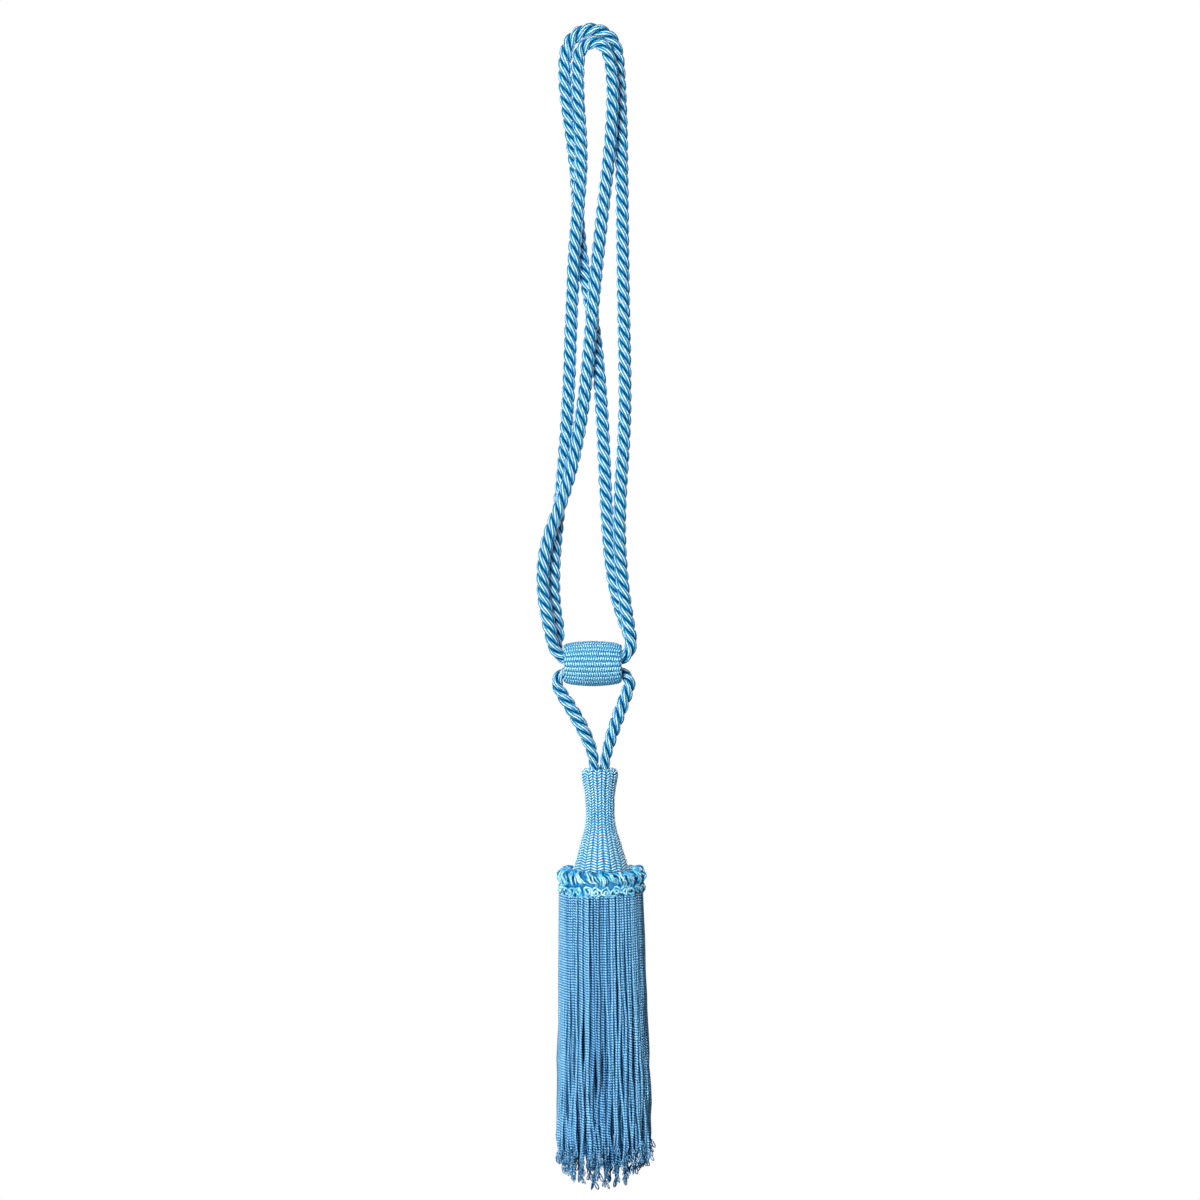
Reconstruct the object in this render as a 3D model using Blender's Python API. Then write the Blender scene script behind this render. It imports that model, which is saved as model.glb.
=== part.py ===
# Curtain tieback tassel, hanging by the two loops of its rope.
#
# The origin is the underside of the inner loop's crown, where a hook carries the tieback.
# +Z is up, -Y is the front. Sizes are in millimetres up to the meshes, which are in metres.
#
#   rope    one three-ply rope: head, slider, outer loop, slider, inner loop, slider, head
#   slider  barrel round the rope's three passes, ribbed by the cords laid along it
#   head    turned mould with upright ribs and a blind hole for the rope's two ends
#   ruff    looped collar round the head's foot
#   skirt   heading with the fringe's strands, fused at their roots

import math
from collections import namedtuple

import bmesh
import bpy
import numpy as np
from mathutils import Vector

MM = 0.001
CLEAR = 0.3  # left between pieces that touch

# Rope
ROPE_RADIUS = 4.1
PLIES = 3
GROOVE_SHARE = 0.6  # radius in the groove between two plies, as a share of the rope's
LAY_LENGTH = 21.6  # rope for one turn of its plies
STEPS_PER_LAY = 6
LAY_SIGN = -1  # left-handed, so the plies run down to the right on the front

# Slider
SLIDER_CENTRE = (-1.35, 0.0, -368.1)
SLIDER_LENGTH = 35.1
SLIDER_WAIST_RADIUS = 13.7
SLIDER_BORE_RADIUS = 8.3
SLIDER_LIP_RADIUS = 1.75
SLIDER_CORDS = 24
SLIDER_CORD_DEPTH = 0.8

# The tassel hangs from this point of its axis, the middle of the head's rim
RIM = (2.7, 0.0, -430.8)
AXIS_LEAN = math.radians(0.8)

# Head
HEAD_RIBS = 24
HEAD_RIB_DEPTH = 0.6
HOLE_RADIUS = 6.45
HOLE_DEPTH = 14.0
FOOT_DEPTH = 59.1  # from the rim down to the flat under the head
FOOT_RADIUS = 16.4
SPIGOT_RADIUS = 12.0
SPIGOT_DEPTH = 76.0
HOLE_EDGE = 0.6  # chamfer at the hole's mouth

RIB_SHAPE = (0.0, 0.3, 1.0, 0.3)  # how deep a cord lies at its crest, flank, groove and flank
SMOOTH_ANGLE = math.radians(50)  # edges sharper than this stay sharp in the shading

# Ruff and skirt heading
RUFF_OUTER_RADIUS = 25.2
RUFF_INNER_RADIUS = 17.4
RUFF_TOP = 59.7
RUFF_FOOT = 75.0
RUFF_LOOPS = 24
RUFF_LOOP_HEIGHT = 0.9
RUFF_SLANT = 0.5  # of a loop's width, from its top to its foot
HEADING_TOP = FOOT_DEPTH + CLEAR
HEADING_FLANGE_TOP = RUFF_FOOT + CLEAR
HEADING_FOOT = 77.8

# Skirt
STRANDS_PER_RING = 50
STRAND_SHARE = 0.74  # width of a strand, as a share of its cell in the heading
SWAY = 0.9  # sideways drift of the strands
SWAY_WAVES = 3  # round the skirt
SWAY_DROP = 60.0  # depth under the heading over which the drift grows to its full size
SWAY_TURN = 1.7  # how far the drift runs round the skirt in that depth, in radians
END_UNEVENNESS = 1.6
END_WAVES = 37
END_DEPTH = 200.0  # below this, a strand's joint is its end

RoutePoint = namedtuple("RoutePoint", "x y z share")
ProfileRow = namedtuple("ProfileRow", "radius depth rib")
StrandRing = namedtuple("StrandRing", "inner outer every depths growth")

# Middle of the rope, in order, and its radius there as a share of the free rope's radius
ROUTE = [RoutePoint(*row) for row in (
    (0.0, -1.45, -444.4, 0.75),  # left end in the head's hole
    (-0.3, -1.45, -431.5, 0.75),
    (-1.7, -1.4, -421.5, 0.86),
    (-7.0, -1.0, -408.0, 1.0),
    (-15.1, -0.4, -393.6, 1.0),
    (-20.6, 0.0, -385.0, 0.93),
    (-22.8, 0.0, -378.4, 0.86),  # round the slider's left lip
    (-17.2, 0.0, -372.8, 0.82),
    (-9.0, 2.4, -372.2, 0.82),
    (-1.4, 4.1, -370.4, 0.82),  # first pass
    (6.3, 4.7, -368.1, 0.82),
    (14.5, 4.1, -365.8, 0.82),
    (20.9, 4.1, -359.5, 0.88),
    (19.4, 4.3, -348.0, 0.97),  # outer loop, left side, going up
    (13.6, 4.1, -330.0, 1.0),
    (8.2, 3.7, -294.0, 1.0),
    (4.4, 3.6, -222.0, 1.0),
    (-3.3, 4.4, -150.0, 1.0),
    (-9.2, 4.5, -114.0, 1.0),
    (-11.2, 4.5, -78.0, 1.0),
    (-15.7, 3.4, -42.0, 1.0),
    (-18.5, 1.2, -10.0, 1.0),
    (-13.9, 0.6, 6.6, 1.0),
    (-2.2, 0.9, 12.4, 1.0),  # outer crown
    (9.9, 2.8, 7.2, 0.97),
    (14.1, 3.7, -8.0, 0.97),
    (15.7, 3.6, -48.0, 1.0),  # outer loop, right side, going down
    (16.4, 1.6, -100.0, 1.0),
    (17.3, 0.0, -165.0, 1.0),
    (17.5, 0.0, -228.0, 1.0),
    (14.7, -1.2, -282.0, 1.0),
    (17.7, -3.8, -330.0, 1.0),
    (20.9, -4.2, -350.0, 0.97),
    (21.0, -4.1, -359.5, 0.88),
    (14.5, -4.1, -365.8, 0.82),
    (6.3, -2.4, -364.0, 0.82),
    (-1.4, 0.0, -363.4, 0.82),  # second pass
    (-9.0, 2.4, -364.0, 0.82),
    (-17.2, 4.1, -365.8, 0.82),
    (-22.9, 4.2, -360.0, 0.86),
    (-22.4, 4.3, -352.5, 0.96),  # inner loop, left side, going up
    (-23.4, 4.3, -340.0, 1.0),
    (-24.9, 4.3, -318.0, 1.0),
    (-21.1, 4.3, -270.0, 1.0),
    (-16.9, 1.4, -222.0, 1.0),
    (-13.8, -1.2, -150.0, 1.0),
    (-10.8, -4.2, -102.0, 1.0),
    (-8.0, -4.0, -66.0, 1.0),
    (-9.2, -3.0, -30.0, 1.0),
    (-9.2, -1.4, -9.0, 1.0),
    (-6.7, -1.2, 0.8, 0.98),
    (-0.3, -1.5, 3.9, 0.97),  # inner crown
    (5.8, -2.9, 0.6, 0.97),
    (9.1, -3.7, -8.5, 0.98),
    (10.6, -4.2, -30.0, 1.0),
    (6.8, -4.1, -78.0, 1.0),  # inner loop, right side, going down in front of the others
    (-0.9, -4.3, -150.0, 1.0),
    (-8.4, -3.7, -222.0, 1.0),
    (-19.8, -4.3, -270.0, 1.0),
    (-29.4, -4.2, -299.0, 1.0),
    (-30.9, -4.2, -325.0, 1.0),
    (-26.4, -4.2, -351.0, 0.98),
    (-23.4, -4.1, -360.5, 0.86),
    (-17.2, -4.1, -365.8, 0.82),
    (-9.0, -4.7, -368.1, 0.82),
    (-1.4, -4.1, -370.4, 0.82),  # third pass
    (6.3, -2.4, -372.2, 0.82),
    (14.5, 0.0, -372.8, 0.82),
    (20.6, 0.0, -378.2, 0.86),
    (19.3, 0.2, -385.2, 0.96),
    (14.8, 0.6, -397.2, 1.0),
    (9.9, 1.1, -411.6, 0.96),
    (6.6, 1.4, -424.0, 0.82),
    (5.5, 1.45, -431.5, 0.75),
    (5.7, 1.45, -444.4, 0.75),  # right end in the head's hole
)]

# Outside of the head, from its rim down: radius, depth under the rim, share of the rib's depth
HEAD_OUTSIDE = [ProfileRow(*row) for row in (
    (7.9, 0.0, 0.0),
    (9.6, 0.5, 0.4),
    (10.9, 2.0, 1.0),
    (11.4, 3.8, 1.0),
    (10.9, 7.0, 1.0),
    (9.8, 12.5, 1.0),
    (9.2, 18.0, 1.0),
    (8.95, 25.0, 1.0),
    (9.3, 32.4, 1.0),
    (10.2, 37.2, 1.0),
    (11.7, 42.0, 1.0),
    (14.7, 51.6, 1.0),
    (16.6, 57.6, 1.0),
    (16.9, 58.4, 0.6),
)]

# Half section of the ruff: radius, depth under the rim, share of the loops' height
RUFF_SECTION = [ProfileRow(*row) for row in (
    (RUFF_INNER_RADIUS, RUFF_FOOT, 0.0),
    (RUFF_INNER_RADIUS, RUFF_TOP + 0.5, 0.0),
    (21.0, RUFF_TOP, 0.4),
    (24.6, RUFF_TOP + 1.1, 1.0),
    (RUFF_OUTER_RADIUS, RUFF_TOP + 4.0, 1.0),
    (RUFF_OUTER_RADIUS - 0.3, RUFF_TOP + 7.4, 1.0),
    (24.0, RUFF_TOP + 9.4, 0.2),
    (RUFF_OUTER_RADIUS - 0.2, RUFF_TOP + 11.2, -1.0),
    (RUFF_OUTER_RADIUS - 0.2, RUFF_TOP + 14.0, -1.0),
    (23.6, RUFF_FOOT, -0.4),
)]

# Rings of strands: edges of their cells in the heading, which cells have one, depth of each
# strand's joints, and how far it has moved outward there
STRAND_RINGS = [StrandRing(*row) for row in (
    (22.1, 25.4, 1, (99.0, 168.0, 233.0), (0.6, 2.4, 3.6)),
    (18.8, 22.1, 1, (150.0, 241.0), (1.2, 2.0)),
    (15.5, 18.8, 2, (150.0, 245.5), (-1.0, -1.6)),
    (12.3, 15.5, 2, (150.0, 248.0), (-3.6, -5.0)),
)]


def clear_scene():
    for thing in list(bpy.data.objects):
        bpy.data.objects.remove(thing, do_unlink=True)


def cloth_material(name, colour, roughness, sheen):
    material = bpy.data.materials.new(name)
    material.use_nodes = True
    shader = material.node_tree.nodes["Principled BSDF"]
    shader.inputs["Base Color"].default_value = (*colour, 1.0)
    shader.inputs["Roughness"].default_value = roughness
    shader.inputs["Metallic"].default_value = 0.0
    shader.inputs["Sheen Weight"].default_value = sheen
    return material


def add_piece(name, bm, material, parent=None):
    """Turn a mesh in millimetres into a named object in metres."""
    bmesh.ops.scale(bm, vec=(MM, MM, MM), verts=bm.verts)
    bmesh.ops.recalc_face_normals(bm, faces=bm.faces)
    mesh = bpy.data.meshes.new(name)
    bm.to_mesh(mesh)
    bm.free()
    mesh.materials.append(material)
    mesh.shade_smooth()
    mesh.set_sharp_from_angle(angle=SMOOTH_ANGLE)
    piece = bpy.data.objects.new(name, mesh)
    bpy.context.scene.collection.objects.link(piece)
    piece.parent = parent
    return piece


def smooth_line(points, per_span=20):
    """Points along a natural cubic spline through the given ones, knotted at the chords' lengths."""
    points = np.array(points, dtype=float)
    gaps = np.linalg.norm(np.diff(points[:, :3], axis=0), axis=1)
    knots = np.concatenate(([0.0], np.cumsum(gaps)))
    count = len(points)
    system = np.eye(count)
    sides = np.zeros_like(points)
    for i in range(1, count - 1):
        before, after = gaps[i - 1], gaps[i]
        system[i, i - 1:i + 2] = (before, 2.0 * (before + after), after)
        slopes = (points[i + 1] - points[i]) / after - (points[i] - points[i - 1]) / before
        sides[i] = 6.0 * slopes
    bends = np.linalg.solve(system, sides)
    line = []
    for i in range(count - 1):
        gap = gaps[i]
        for t in np.linspace(0.0, gap, per_span, endpoint=False):
            ahead = gap - t
            line.append(
                (bends[i] * ahead ** 3 + bends[i + 1] * t ** 3) / (6.0 * gap)
                + (points[i] / gap - bends[i] * gap / 6.0) * ahead
                + (points[i + 1] / gap - bends[i + 1] * gap / 6.0) * t
            )
    line.append(points[-1])
    return np.array(line)


def even_steps(line, step):
    """Read a line again at even steps along its length."""
    lengths = np.linalg.norm(np.diff(line[:, :3], axis=0), axis=1)
    along = np.concatenate(([0.0], np.cumsum(lengths)))
    places = np.linspace(0.0, along[-1], round(along[-1] / step) + 1)
    return np.array([[np.interp(s, along, column) for column in line.T] for s in places]), places


def rope_section(turn, radius):
    """Crests and grooves of the plies, as distances along a frame's two axes."""
    for corner in range(2 * PLIES):
        angle = turn + math.pi * corner / PLIES
        reach = radius * (GROOVE_SHARE if corner % 2 else 1.0)
        yield reach * math.cos(angle), reach * math.sin(angle)


def rope_mesh():
    """Sweep the twisted section along the route, in a frame that turns no more than it must."""
    line, places = even_steps(smooth_line(ROUTE), LAY_LENGTH / STEPS_PER_LAY)
    centres = [Vector(row[:3]) for row in line]
    bm = bmesh.new()
    rings = []
    across = Vector((0.0, 1.0, 0.0))
    for i, centre in enumerate(centres):
        ahead = centres[min(i + 1, len(centres) - 1)] - centres[max(i - 1, 0)]
        ahead.normalize()
        across = (across - ahead * across.dot(ahead)).normalized()
        aside = ahead.cross(across)
        turn = LAY_SIGN * math.tau * places[i] / LAY_LENGTH
        radius = ROPE_RADIUS * line[i][3]
        rings.append([bm.verts.new(centre + across * u + aside * v)
                      for u, v in rope_section(turn, radius)])
    join_rings(bm, rings, closed=False)
    bm.faces.new(rings[0])
    bm.faces.new(rings[-1])
    return bm


def join_rings(bm, rings, closed):
    """Bridge each ring of points to the next, and the last to the first on a closed section."""
    pairs = list(zip(rings, rings[1:]))
    if closed:
        pairs.append((rings[-1], rings[0]))
    for ring, following in pairs:
        sides = len(ring)
        for k in range(sides):
            m = (k + 1) % sides
            bm.faces.new((ring[k], ring[m], following[m], following[k]))


def turned_rings(bm, section, sides, height_of):
    """Turn a section round Z; height_of(row, turn) is how far a point stands proud."""
    rings = []
    for row in section:
        ring = []
        for k in range(sides):
            angle = math.tau * k / sides
            radius = row.radius + height_of(row, k / sides)
            ring.append(bm.verts.new((radius * math.cos(angle), radius * math.sin(angle), -row.depth)))
        rings.append(ring)
    return rings


def ribs(count, depth):
    """Cords along the axis, with their crest on the section's radius and a groove between two."""
    def height(row, turn):
        return -depth * row.rib * RIB_SHAPE[round(turn * len(RIB_SHAPE) * count) % len(RIB_SHAPE)]
    return height


def slider_section():
    """Bore, round lip, barrel and round lip, from one end of the slider to the other."""
    half = SLIDER_LENGTH / 2
    lip_radius = SLIDER_BORE_RADIUS + SLIDER_LIP_RADIUS
    section = [ProfileRow(SLIDER_BORE_RADIUS, 0.0, 0.0)]
    for angle in range(-90, 91, 45):
        rise, run = math.sin(math.radians(angle)), math.cos(math.radians(angle))
        section.append(ProfileRow(lip_radius + SLIDER_LIP_RADIUS * rise,
                                  half - SLIDER_LIP_RADIUS * (1.0 - run), 1.0 if angle == 90 else 0.0))
    lip_top = lip_radius + SLIDER_LIP_RADIUS
    for share in (0.7, 0.4):  # of the way from the waist to the end
        radius = SLIDER_WAIST_RADIUS - (SLIDER_WAIST_RADIUS - lip_top) * share ** 2
        section.append(ProfileRow(radius, half * share, 1.0))
    other_half = [row._replace(depth=-row.depth) for row in section[:0:-1]]
    return section + [ProfileRow(SLIDER_WAIST_RADIUS, 0.0, 1.0)] + other_half


def slider_mesh():
    bm = bmesh.new()
    sides = len(RIB_SHAPE) * SLIDER_CORDS
    rings = turned_rings(bm, slider_section(), sides, ribs(SLIDER_CORDS, SLIDER_CORD_DEPTH))
    join_rings(bm, rings, closed=True)
    return bm


def head_mesh():
    """Blind hole, rim, ribbed outside, flat foot and spigot."""
    hole = [ProfileRow(HOLE_RADIUS, HOLE_DEPTH, 0.0), ProfileRow(HOLE_RADIUS, HOLE_EDGE, 0.0)]
    foot = [ProfileRow(FOOT_RADIUS, FOOT_DEPTH, 0.0), ProfileRow(SPIGOT_RADIUS, FOOT_DEPTH, 0.0),
            ProfileRow(SPIGOT_RADIUS, SPIGOT_DEPTH, 0.0)]
    bm = bmesh.new()
    sides = len(RIB_SHAPE) * HEAD_RIBS
    rings = turned_rings(bm, hole + HEAD_OUTSIDE + foot, sides, ribs(HEAD_RIBS, HEAD_RIB_DEPTH))
    join_rings(bm, rings, closed=False)
    bm.faces.new(rings[0])
    bm.faces.new(rings[-1])
    return bm


def ruff_loops(row, turn):
    """Slanted loops in two rows, the lower row half a loop on from the upper."""
    slant = RUFF_SLANT * (row.depth - RUFF_TOP) / (RUFF_FOOT - RUFF_TOP)
    wave = math.cos(math.tau * (turn * RUFF_LOOPS + slant))
    return RUFF_LOOP_HEIGHT * row.rib * wave


def ruff_mesh():
    bm = bmesh.new()
    rings = turned_rings(bm, RUFF_SECTION, 3 * RUFF_LOOPS, ruff_loops)
    join_rings(bm, rings, closed=True)
    return bm


def heading_section():
    """Collar under the ruff and the flange that the strands hang from."""
    collar_radius = RUFF_INNER_RADIUS - CLEAR
    edges = [ring.outer for ring in STRAND_RINGS] + [STRAND_RINGS[-1].inner]
    section = [
        ProfileRow(edges[-1], HEADING_TOP, 0.0),
        ProfileRow(collar_radius, HEADING_TOP, 0.0),
        ProfileRow(collar_radius, HEADING_FLANGE_TOP, 0.0),
        ProfileRow(edges[0], HEADING_FLANGE_TOP, 0.0),
    ]
    return section + [ProfileRow(edge, HEADING_FOOT, 0.0) for edge in edges]


def strand_cells(bm, ring):
    """Faces under the heading that one ring of strands grows from."""
    cells = []
    for face in bm.faces:
        middle = face.calc_center_median()
        sector = math.floor(math.atan2(middle.y, middle.x) / math.tau * STRANDS_PER_RING)
        if abs(middle.z + HEADING_FOOT) < 0.01 and ring.inner < middle.xy.length < ring.outer:
            if sector % ring.every == 0:
                cells.append(face)
    return cells


def sway_at(angle, depth):
    """Sideways drift that neighbours share, so that no two strands meet."""
    fall = (depth - HEADING_FOOT) / SWAY_DROP
    return SWAY * math.sin(SWAY_WAVES * angle + SWAY_TURN * fall) * min(fall, 1.0)


def drop_cell(face, depth, growth, share):
    """Lower a strand's end face, spread it outward, let it drift and set its width."""
    middle = face.calc_center_median()
    angle = math.atan2(middle.y, middle.x)
    radius = middle.xy.length + growth
    angle += sway_at(angle, depth) / radius
    uneven = END_UNEVENNESS * math.sin(END_WAVES * angle) if depth > END_DEPTH else 0.0
    place = Vector((radius * math.cos(angle), radius * math.sin(angle), -depth - uneven))
    for vert in face.verts:
        vert.co = place + (vert.co - middle) * share


def skirt_mesh():
    bm = bmesh.new()
    rings = turned_rings(bm, heading_section(), STRANDS_PER_RING, lambda row, turn: 0.0)
    join_rings(bm, rings, closed=True)
    for ring in STRAND_RINGS:
        cells = strand_cells(bm, ring)
        share, spread = STRAND_SHARE, 0.0
        for depth, growth in zip(ring.depths, ring.growth):
            cells = bmesh.ops.extrude_discrete_faces(bm, faces=cells)["faces"]
            for cell in cells:
                drop_cell(cell, depth, growth - spread, share)
            share, spread = 1.0, growth
    return bm


def tassel_axis():
    """Empty at the middle of the head's rim, with the tassel's slight lean."""
    axis = bpy.data.objects.new("tassel_axis", None)
    bpy.context.scene.collection.objects.link(axis)
    axis.location = [value * MM for value in RIM]
    axis.rotation_euler = (0.0, -AXIS_LEAN, 0.0)
    return axis


def build():
    clear_scene()
    satin = cloth_material("rope_satin", (0.10, 0.37, 0.66), 0.32, 0.2)
    wound = cloth_material("wound_thread", (0.22, 0.50, 0.72), 0.42, 0.2)
    looped = cloth_material("looped_thread", (0.14, 0.47, 0.76), 0.40, 0.2)
    fringe = cloth_material("fringe_cord", (0.16, 0.36, 0.62), 0.50, 0.3)

    add_piece("rope", rope_mesh(), satin)
    slider = add_piece("slider", slider_mesh(), wound)
    slider.location = [value * MM for value in SLIDER_CENTRE]
    slider.rotation_euler = (0.0, math.pi / 2, 0.0)

    axis = tassel_axis()
    add_piece("head", head_mesh(), wound, axis)
    add_piece("ruff", ruff_mesh(), looped, axis)
    add_piece("skirt", skirt_mesh(), fringe, axis)


build()
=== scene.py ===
import math
import random
import bmesh
import bpy
import numpy as np
from mathutils import Matrix, Vector


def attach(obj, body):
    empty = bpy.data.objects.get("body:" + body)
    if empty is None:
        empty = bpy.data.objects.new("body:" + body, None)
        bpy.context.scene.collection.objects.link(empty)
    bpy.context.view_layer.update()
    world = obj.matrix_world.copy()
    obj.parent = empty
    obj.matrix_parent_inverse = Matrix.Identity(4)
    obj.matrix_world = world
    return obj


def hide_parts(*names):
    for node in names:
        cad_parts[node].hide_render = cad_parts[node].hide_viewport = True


# The tieback hangs down Z from the origin, with its front to -Y.
# Lengths are in metres, and a number in millimetres has mm beside it or in the note over it.

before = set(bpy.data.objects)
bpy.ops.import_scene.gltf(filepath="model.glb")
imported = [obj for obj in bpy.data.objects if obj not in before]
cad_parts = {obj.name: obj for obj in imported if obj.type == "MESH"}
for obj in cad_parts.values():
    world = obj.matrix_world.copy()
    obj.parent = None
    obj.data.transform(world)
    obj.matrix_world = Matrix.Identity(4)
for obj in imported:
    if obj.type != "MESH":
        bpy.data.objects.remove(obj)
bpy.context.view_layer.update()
scene = bpy.context.scene
mm = 0.001
fullTurn = 2 * math.pi
white = (1.0, 1.0, 1.0)
middleColour = (0.5, 0.5, 0.5)  # what coloured noise runs round
print("tieback: frame loaded")


class Wire:  # a node's output that takes part in sums
    def __init__(self, board, socket):
        self.board = board
        self.socket = socket

    def maths(self, operation, *others, swap=False):
        terms = (*others, self) if swap else (self, *others)
        vectors = [isVector(term) for term in terms]
        kind = "ShaderNodeVectorMath" if any(vectors) else "ShaderNodeMath"
        sockets = dict(enumerate(terms))
        if operation == "MULTIPLY" and any(vectors) and not all(vectors):
            operation = "SCALE"
            vector, number = sorted(terms, key=isVector, reverse=True)
            sockets = {0: vector, "Scale": number}
        return self.board.add(kind, {"operation": operation}, sockets)

    def __add__(self, other):
        return self.maths("ADD", other)

    def __radd__(self, other):
        return self.maths("ADD", other, swap=True)

    def __sub__(self, other):
        return self.maths("SUBTRACT", other)

    def __rsub__(self, other):
        return self.maths("SUBTRACT", other, swap=True)

    def __mul__(self, other):
        return self.maths("MULTIPLY", other)

    def __rmul__(self, other):
        return self.maths("MULTIPLY", other, swap=True)

    def __truediv__(self, other):
        return self.maths("DIVIDE", other)

    def __pow__(self, other):
        return self.maths("POWER", other)

    def __mod__(self, other):
        return self.maths("FLOORED_MODULO", other)

    def __neg__(self):
        return self.maths("MULTIPLY", -1.0)


def isVector(term):
    return isinstance(term, tuple) or isinstance(term, Wire) and term.socket.type in ("VECTOR", "RGBA")


class Board:  # adds nodes to one tree
    def __init__(self, tree, values=None):
        self.tree = tree
        self.values = values or {}

    def add(self, kind, settings=None, sockets=None, out=0):
        node = self.tree.nodes.new(kind)
        for name, value in (settings or {}).items():
            setattr(node, name, value)
        for name, value in (sockets or {}).items():
            self.plug(node.inputs[name], value)
        if isinstance(out, tuple):
            return tuple(Wire(self, node.outputs[key]) for key in out)
        return Wire(self, node.outputs[out]) if node.outputs else None

    def plug(self, socket, value):
        if isinstance(value, Wire):
            self.tree.links.new(value.socket, socket)
        elif socket.type == "RGBA" and len(value) == 3:
            socket.default_value = (*value, 1.0)
        else:
            socket.default_value = value


def sine(angle):
    return angle.maths("SINE")


def cosine(angle):
    return angle.maths("COSINE")


def absolute(value):
    return value.maths("ABSOLUTE")


def clamp(value):
    return value.maths("MAXIMUM", 0.0).maths("MINIMUM", 1.0)


def centred(noise):  # noise and shares run from 0 to 1
    return noise - 0.5


def combine(board, x, y, z):
    return board.add("ShaderNodeCombineXYZ", None, {0: x, 1: y, 2: z})


def separate(board, vector):
    return board.add("ShaderNodeSeparateXYZ", None, {0: vector}, out=(0, 1, 2))


def vectorMath(board, operation, *vectors, out=0):
    return board.add("ShaderNodeVectorMath", {"operation": operation}, dict(enumerate(vectors)), out)


def dot(board, first, second):
    return vectorMath(board, "DOT_PRODUCT", first, second, out="Value")


def cross(board, first, second):
    return vectorMath(board, "CROSS_PRODUCT", first, second)


def unit(board, vector):
    return vectorMath(board, "NORMALIZE", vector)


def angleOf(board, vector):  # round Z, from +X
    x, y, z = separate(board, vector)
    return y.maths("ARCTAN2", x)


def onCircle(board, radius, angle, height):
    return combine(board, radius * cosine(angle), radius * sine(angle), height)


def noiseAt(board, vector, scale=1.0, detail=2.0, out=0):
    return board.add("ShaderNodeTexNoise", {"noise_dimensions": "3D"},
                     {"Vector": vector, "Scale": scale, "Detail": detail}, out)


def newTree(name, settings, *inputs):  # its inputs are named values from a piece's settings
    tree = bpy.data.node_groups.new(name, "GeometryNodeTree")
    for side in ("OUTPUT", "INPUT"):
        tree.interface.new_socket("Geometry", in_out=side, socket_type="NodeSocketGeometry")
    kinds = {int: "NodeSocketInt", float: "NodeSocketFloat"}
    for label in inputs:
        tree.interface.new_socket(label, in_out="INPUT", socket_type=kinds[type(settings[label])])
    board = Board(tree, {label: settings[label] for label in inputs})
    source = tree.nodes.new("NodeGroupInput")
    return board, {socket.name: Wire(board, socket) for socket in source.outputs if socket.name}


def endTree(board, geometry, material):
    solid = board.add("GeometryNodeRealizeInstances", None, {0: geometry})
    painted = board.add("GeometryNodeSetMaterial", None, {"Geometry": solid, "Material": material})
    board.add("NodeGroupOutput", None, {0: painted})
    return board


def seedMesh(name, points, edges=(), **facts):  # points or a line, with a number for each point
    mesh = bpy.data.meshes.new(name)
    mesh.from_pydata([tuple(float(value) for value in point) for point in points], list(edges), [])
    for label, values in facts.items():
        numbers = mesh.attributes.new(label, "FLOAT", "POINT")
        numbers.data.foreach_set("value", [float(value) for value in values])
    return mesh


def seedLine(name, points, **facts):
    return seedMesh(name, points, [(i, i + 1) for i in range(len(points) - 1)], **facts)


def grow(name, board, seed, place=None):  # evaluates a tree once and keeps the plain mesh
    piece = bpy.data.objects.new(name, seed)
    scene.collection.objects.link(piece)
    modifier = piece.modifiers.new("shape", "NODES")
    modifier.node_group = board.tree
    for item in board.tree.interface.items_tree:
        if item.in_out == "INPUT" and item.name in board.values:
            modifier[item.identifier] = board.values[item.name]
    graph = bpy.context.evaluated_depsgraph_get()
    shaped = piece.evaluated_get(graph)
    mesh = bpy.data.meshes.new_from_object(shaped, preserve_all_data_layers=True, depsgraph=graph)
    piece.modifiers.remove(modifier)
    piece.data = mesh
    bpy.data.meshes.remove(seed)
    if place is not None:
        mesh.transform(place)
    mesh.shade_smooth()
    mesh.calc_loop_triangles()
    print(f"tieback: {name}, {len(mesh.loop_triangles)} triangles")
    return piece


def fact(board, name, kind="FLOAT"):  # what is stored on the points under a name
    return board.add("GeometryNodeInputNamedAttribute", {"data_type": kind}, {"Name": name})


def vectorFact(board, name):
    return fact(board, name, "FLOAT_VECTOR")


def keep(board, geometry, name, value, domain="POINT", kind="FLOAT"):
    return board.add("GeometryNodeStoreNamedAttribute", {"data_type": kind, "domain": domain},
                     {"Geometry": geometry, "Name": name, "Value": value})


def keepVector(board, geometry, name, value):
    return keep(board, geometry, name, value, kind="FLOAT_VECTOR")


def chance(board, number, seed, least=-1.0, most=1.0):
    return board.add("FunctionNodeRandomValue", {"data_type": "FLOAT"},
                     {"Min": least, "Max": most, "ID": number, "Seed": seed}, out="Value")


def stray(board, number, draw):  # to either side, from a pair of seed and greatest amount
    seed, reach = draw
    return chance(board, number, seed) * reach


def position(board):
    return board.add("GeometryNodeInputPosition")


def onSpline(board, measure):  # its Length so far, or the Factor of the whole
    return board.add("GeometryNodeSplineParameter", out=measure)


def straight(board, end, count):  # a line from the origin, with count points
    line = board.add("GeometryNodeCurvePrimitiveLine", None, {"Start": (0.0, 0.0, 0.0), "End": end})
    return board.add("GeometryNodeResampleCurve", None, {"Curve": line, "Count": count})


def circle(board, points, label="around"):
    ring = board.add("GeometryNodeCurvePrimitiveCircle", {"mode": "RADIUS"},
                     {"Resolution": points, "Radius": 1.0})
    return keepVector(board, ring, label, position(board))


def setPlace(board, geometry, place):
    return board.add("GeometryNodeSetPosition", None, {"Geometry": geometry, "Position": place})


def shiftBy(board, geometry, offset):
    return board.add("GeometryNodeSetPosition", None, {"Geometry": geometry, "Offset": offset})


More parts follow.
